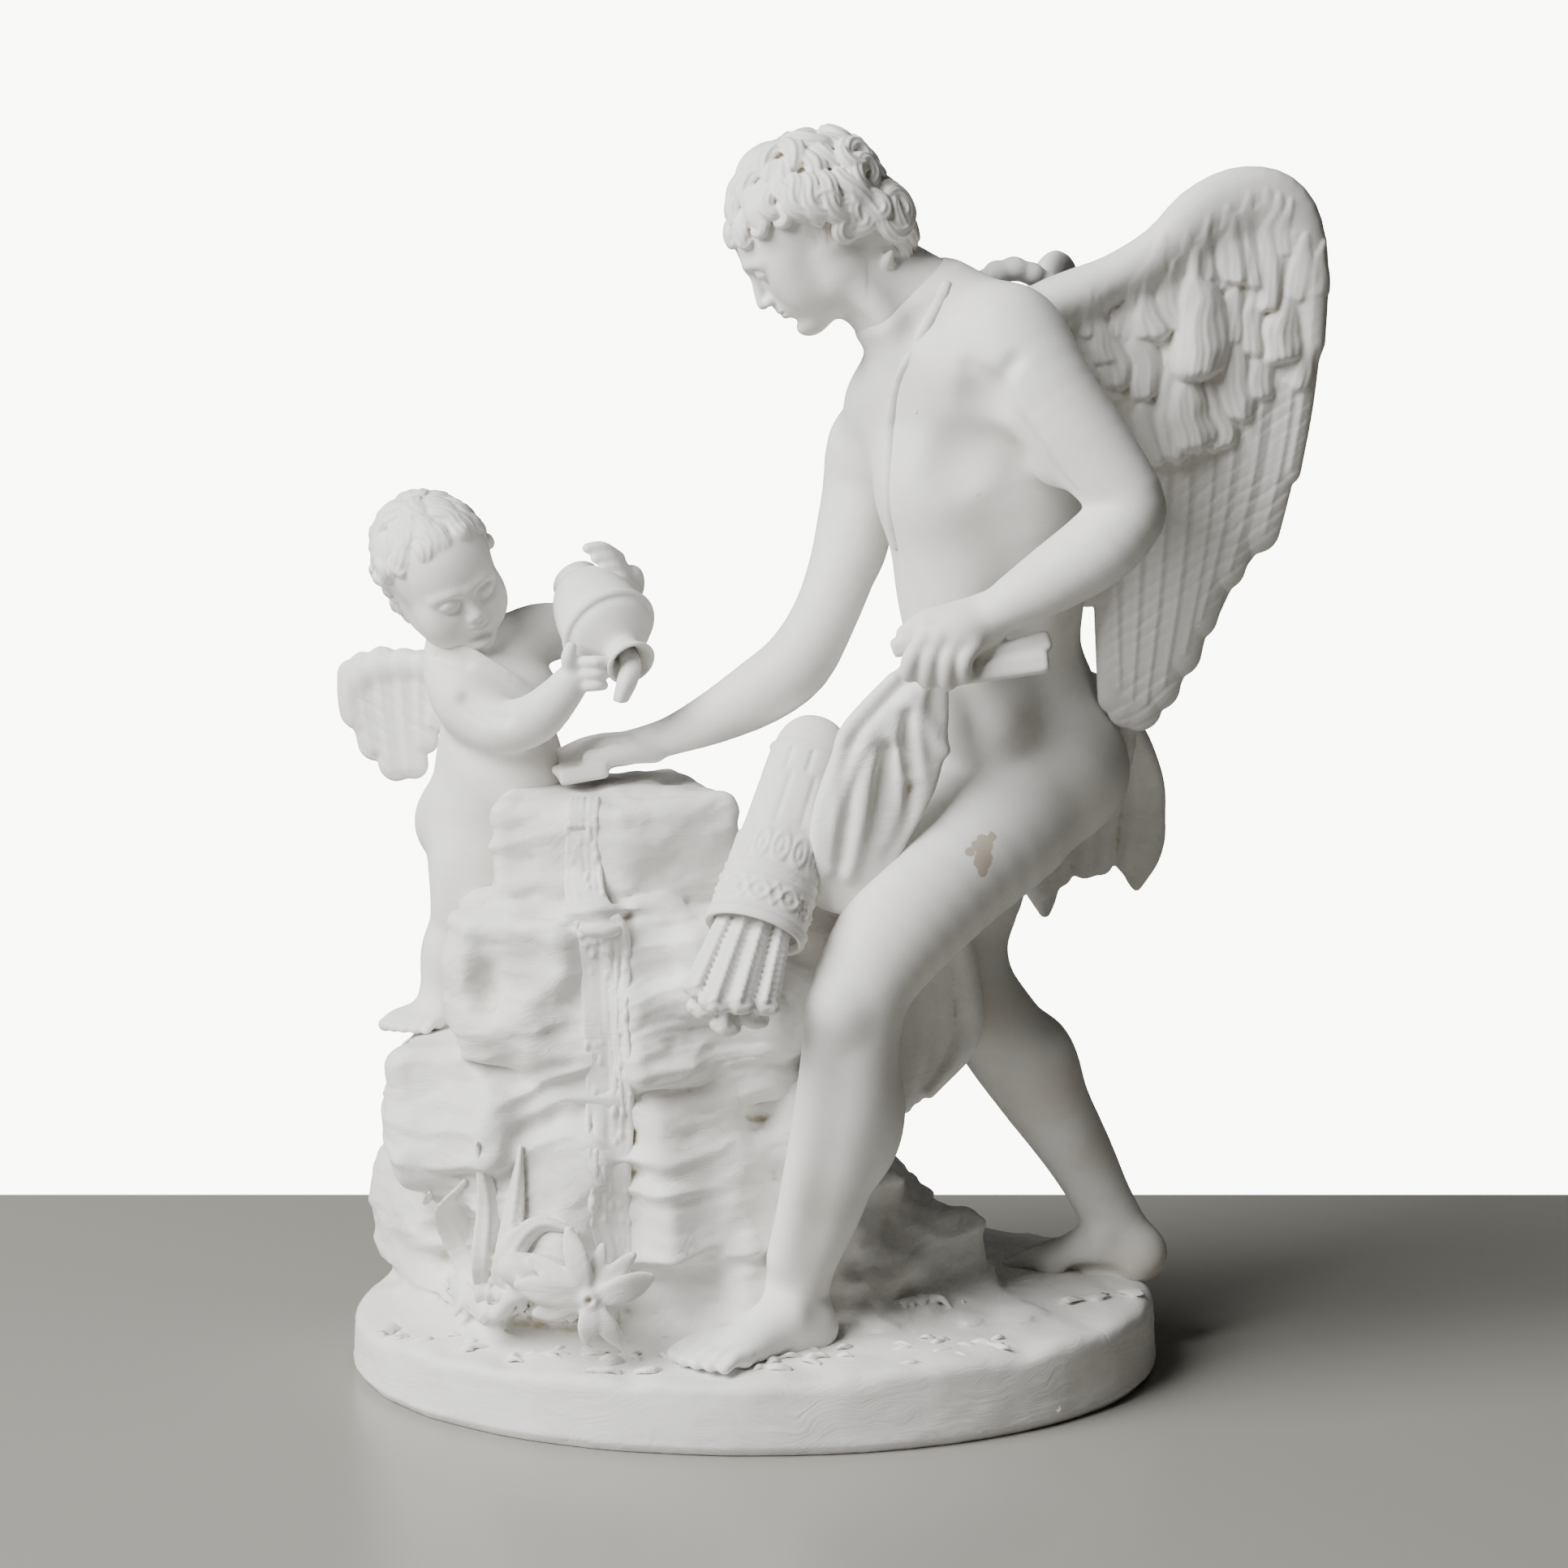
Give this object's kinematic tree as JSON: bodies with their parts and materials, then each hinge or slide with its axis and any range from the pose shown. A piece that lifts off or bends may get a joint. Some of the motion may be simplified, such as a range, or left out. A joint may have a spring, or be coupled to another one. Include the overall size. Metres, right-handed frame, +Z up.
{
  "type": "bisque figure group",
  "caption": "White bisque porcelain group of a winged youth bending over a rock spring while a winged child pours water from an urn, on an oval base",
  "frame": {"origin": "Centre of the oval base's flat underside, where the group stands", "axes": "+Z up, +X to the group's right side as seen from its front, which is the youth's back and wings, +Y to the back of the group, away from the side in the picture"},
  "size_m": [0.2925, 0.179, 0.384],
  "materials": {
    "bisque": "unglazed white bisque porcelain, matte with a faint sheen, warm dust in the crevices"
  },
  "bodies": {
    "root": {"figure_group": "bisque"}
  },
  "joints": []
}
